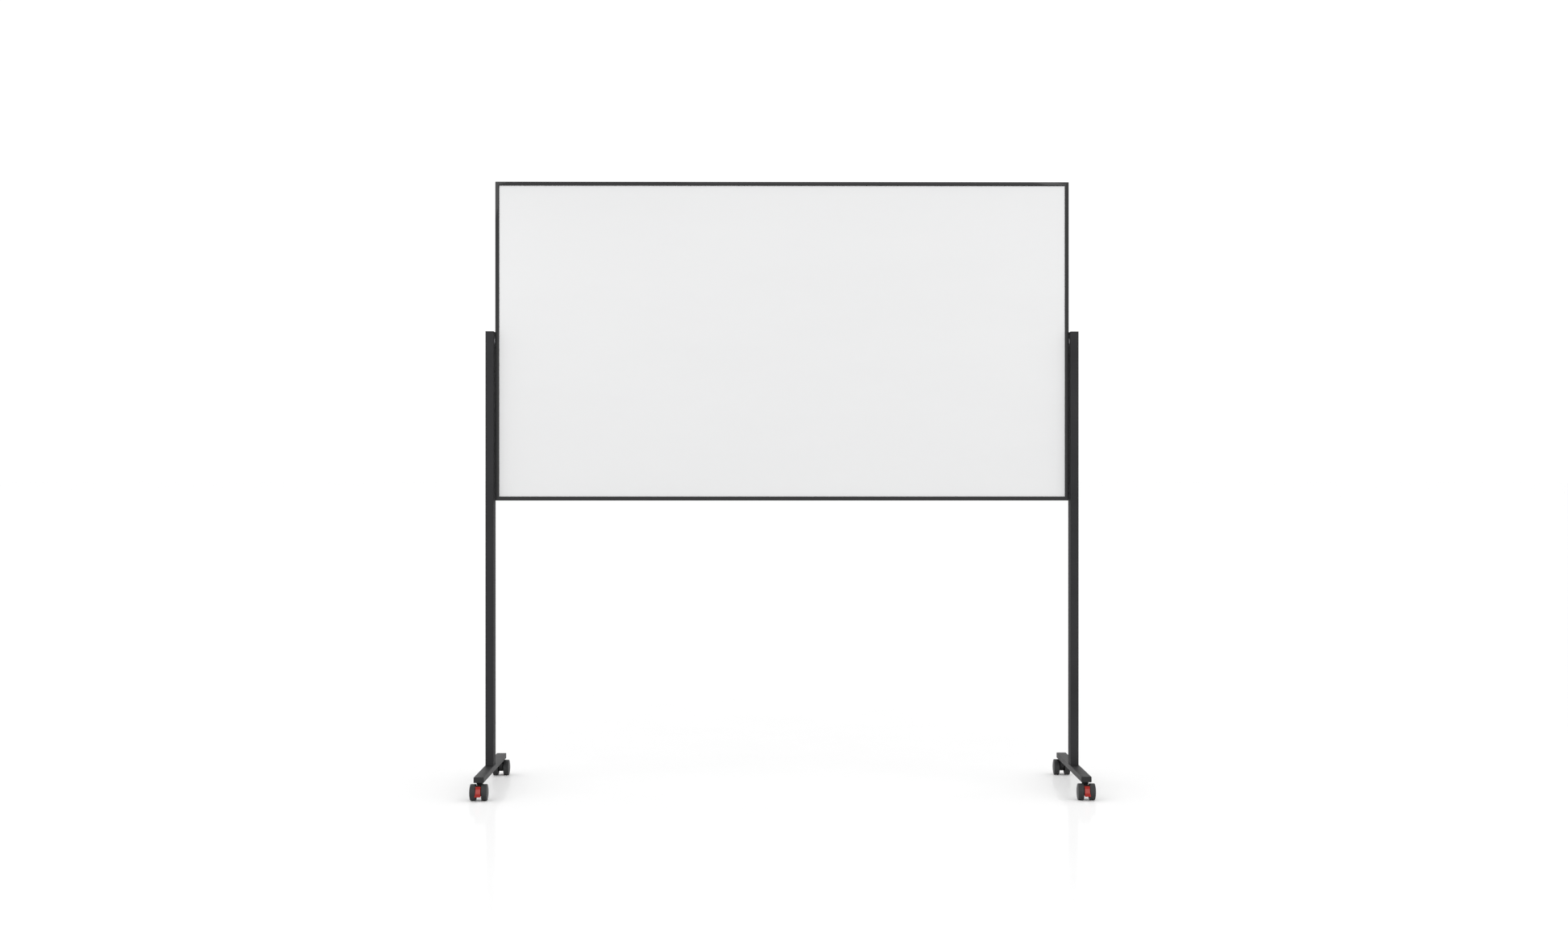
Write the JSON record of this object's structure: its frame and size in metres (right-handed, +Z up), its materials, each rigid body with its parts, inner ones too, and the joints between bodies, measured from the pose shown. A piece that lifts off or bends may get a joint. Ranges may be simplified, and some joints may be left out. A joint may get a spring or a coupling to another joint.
{
  "type": "rolling whiteboard",
  "caption": "Mobile double-sided whiteboard: a framed white board that flips end over end between posts on foot bars with braked twin-wheel casters.",
  "frame": {"origin": "on the floor, midway between the casters, under the middle of the board", "axes": "+X to the viewer's right along the board, -Y towards the viewer (the front writing side), +Z up"},
  "size_m": [1.8884, 0.626, 1.9],
  "materials": {
    "powder_coat": "satin",
    "black_aluminium": "satin",
    "black_plastic": "matte",
    "wheel_nylon": "satin",
    "red_plastic": "satin",
    "zinc_steel": "satin",
    "white_enamel": "gloss",
    "honeycomb_core": "matte",
    "grey_nylon": "satin"
  },
  "bodies": {
    "stand": {"left_post": "powder_coat", "left_post_cap": "black_plastic", "left_post_nut_plate": "zinc_steel", "left_foot_bar": "powder_coat", "left_post_plug": "black_plastic", "left_pivot_bush": "grey_nylon", "left_front_foot_cap": "black_plastic", "left_front_foot_bolt": "zinc_steel", "left_front_caster_stem": "zinc_steel", "left_rear_foot_cap": "black_plastic", "left_rear_foot_bolt": "zinc_steel", "left_rear_caster_stem": "zinc_steel", "right_post": "powder_coat", "right_post_cap": "black_plastic", "right_post_nut_plate": "zinc_steel", "right_foot_bar": "powder_coat", "right_post_plug": "black_plastic", "right_pivot_bush": "grey_nylon", "right_front_foot_cap": "black_plastic", "right_front_foot_bolt": "zinc_steel", "right_front_caster_stem": "zinc_steel", "right_rear_foot_cap": "black_plastic", "right_rear_foot_bolt": "zinc_steel", "right_rear_caster_stem": "zinc_steel"},
    "board": {"frame_top_rail": "black_aluminium", "frame_bottom_rail": "black_aluminium", "frame_left_rail": "black_aluminium", "frame_right_rail": "black_aluminium", "frame_key_top_left": "grey_nylon", "frame_key_top_right": "grey_nylon", "frame_key_bottom_left": "grey_nylon", "frame_key_bottom_right": "grey_nylon", "front_writing_sheet": "white_enamel", "board_core": "honeycomb_core", "back_writing_sheet": "white_enamel", "left_pivot_bolt": "zinc_steel", "left_pivot_nut": "zinc_steel", "right_pivot_bolt": "zinc_steel", "right_pivot_nut": "zinc_steel"},
    "left_front_caster": {"left_front_caster_fork": "black_plastic", "left_front_caster_axle": "zinc_steel"},
    "left_front_outer_wheel": {"left_front_outer_wheel": "wheel_nylon"},
    "left_front_inner_wheel": {"left_front_inner_wheel": "wheel_nylon"},
    "left_front_brake_lever": {"left_front_brake_lever": "red_plastic"},
    "left_rear_caster": {"left_rear_caster_fork": "black_plastic", "left_rear_caster_axle": "zinc_steel"},
    "left_rear_outer_wheel": {"left_rear_outer_wheel": "wheel_nylon"},
    "left_rear_inner_wheel": {"left_rear_inner_wheel": "wheel_nylon"},
    "left_rear_brake_lever": {"left_rear_brake_lever": "red_plastic"},
    "right_front_caster": {"right_front_caster_fork": "black_plastic", "right_front_caster_axle": "zinc_steel"},
    "right_front_outer_wheel": {"right_front_outer_wheel": "wheel_nylon"},
    "right_front_inner_wheel": {"right_front_inner_wheel": "wheel_nylon"},
    "right_front_brake_lever": {"right_front_brake_lever": "red_plastic"},
    "right_rear_caster": {"right_rear_caster_fork": "black_plastic", "right_rear_caster_axle": "zinc_steel"},
    "right_rear_outer_wheel": {"right_rear_outer_wheel": "wheel_nylon"},
    "right_rear_inner_wheel": {"right_rear_inner_wheel": "wheel_nylon"},
    "right_rear_brake_lever": {"right_rear_brake_lever": "red_plastic"}
  },
  "joints": [
    {"name": "board_pivot", "type": "hinge", "parent": "stand", "child": "board", "pos_m": [0, 0, 1.4], "axis": [1, 0, 0], "continuous": true},
    {"name": "left_front_swivel", "type": "hinge", "parent": "stand", "child": "left_front_caster", "pos_m": [-0.9155, -0.256, 0.0524], "axis": [0, 0, 1], "continuous": true},
    {"name": "left_front_outer_wheel_spin", "type": "hinge", "parent": "left_front_caster", "child": "left_front_outer_wheel", "pos_m": [-0.9155, -0.276, 0.025], "axis": [1, 0, 0], "continuous": true},
    {"name": "left_front_inner_wheel_spin", "type": "hinge", "parent": "left_front_caster", "child": "left_front_inner_wheel", "pos_m": [-0.9155, -0.276, 0.025], "axis": [1, 0, 0], "continuous": true},
    {"name": "left_front_brake", "type": "hinge", "parent": "left_front_caster", "child": "left_front_brake_lever", "pos_m": [-0.9155, -0.285, 0.04], "axis": [-1, 0, 0], "range_deg": [0, 20]},
    {"name": "left_rear_swivel", "type": "hinge", "parent": "stand", "child": "left_rear_caster", "pos_m": [-0.9155, 0.256, 0.0524], "axis": [0, 0, 1], "continuous": true},
    {"name": "left_rear_outer_wheel_spin", "type": "hinge", "parent": "left_rear_caster", "child": "left_rear_outer_wheel", "pos_m": [-0.9155, 0.276, 0.025], "axis": [1, 0, 0], "continuous": true},
    {"name": "left_rear_inner_wheel_spin", "type": "hinge", "parent": "left_rear_caster", "child": "left_rear_inner_wheel", "pos_m": [-0.9155, 0.276, 0.025], "axis": [1, 0, 0], "continuous": true},
    {"name": "left_rear_brake", "type": "hinge", "parent": "left_rear_caster", "child": "left_rear_brake_lever", "pos_m": [-0.9155, 0.285, 0.04], "axis": [1, 0, 0], "range_deg": [0, 20]},
    {"name": "right_front_swivel", "type": "hinge", "parent": "stand", "child": "right_front_caster", "pos_m": [0.9155, -0.256, 0.0524], "axis": [0, 0, 1], "continuous": true},
    {"name": "right_front_outer_wheel_spin", "type": "hinge", "parent": "right_front_caster", "child": "right_front_outer_wheel", "pos_m": [0.9155, -0.276, 0.025], "axis": [1, 0, 0], "continuous": true},
    {"name": "right_front_inner_wheel_spin", "type": "hinge", "parent": "right_front_caster", "child": "right_front_inner_wheel", "pos_m": [0.9155, -0.276, 0.025], "axis": [1, 0, 0], "continuous": true},
    {"name": "right_front_brake", "type": "hinge", "parent": "right_front_caster", "child": "right_front_brake_lever", "pos_m": [0.9155, -0.285, 0.04], "axis": [-1, 0, 0], "range_deg": [0, 20]},
    {"name": "right_rear_swivel", "type": "hinge", "parent": "stand", "child": "right_rear_caster", "pos_m": [0.9155, 0.256, 0.0524], "axis": [0, 0, 1], "continuous": true},
    {"name": "right_rear_outer_wheel_spin", "type": "hinge", "parent": "right_rear_caster", "child": "right_rear_outer_wheel", "pos_m": [0.9155, 0.276, 0.025], "axis": [1, 0, 0], "continuous": true},
    {"name": "right_rear_inner_wheel_spin", "type": "hinge", "parent": "right_rear_caster", "child": "right_rear_inner_wheel", "pos_m": [0.9155, 0.276, 0.025], "axis": [1, 0, 0], "continuous": true},
    {"name": "right_rear_brake", "type": "hinge", "parent": "right_rear_caster", "child": "right_rear_brake_lever", "pos_m": [0.9155, 0.285, 0.04], "axis": [1, 0, 0], "range_deg": [0, 20]}
  ]
}
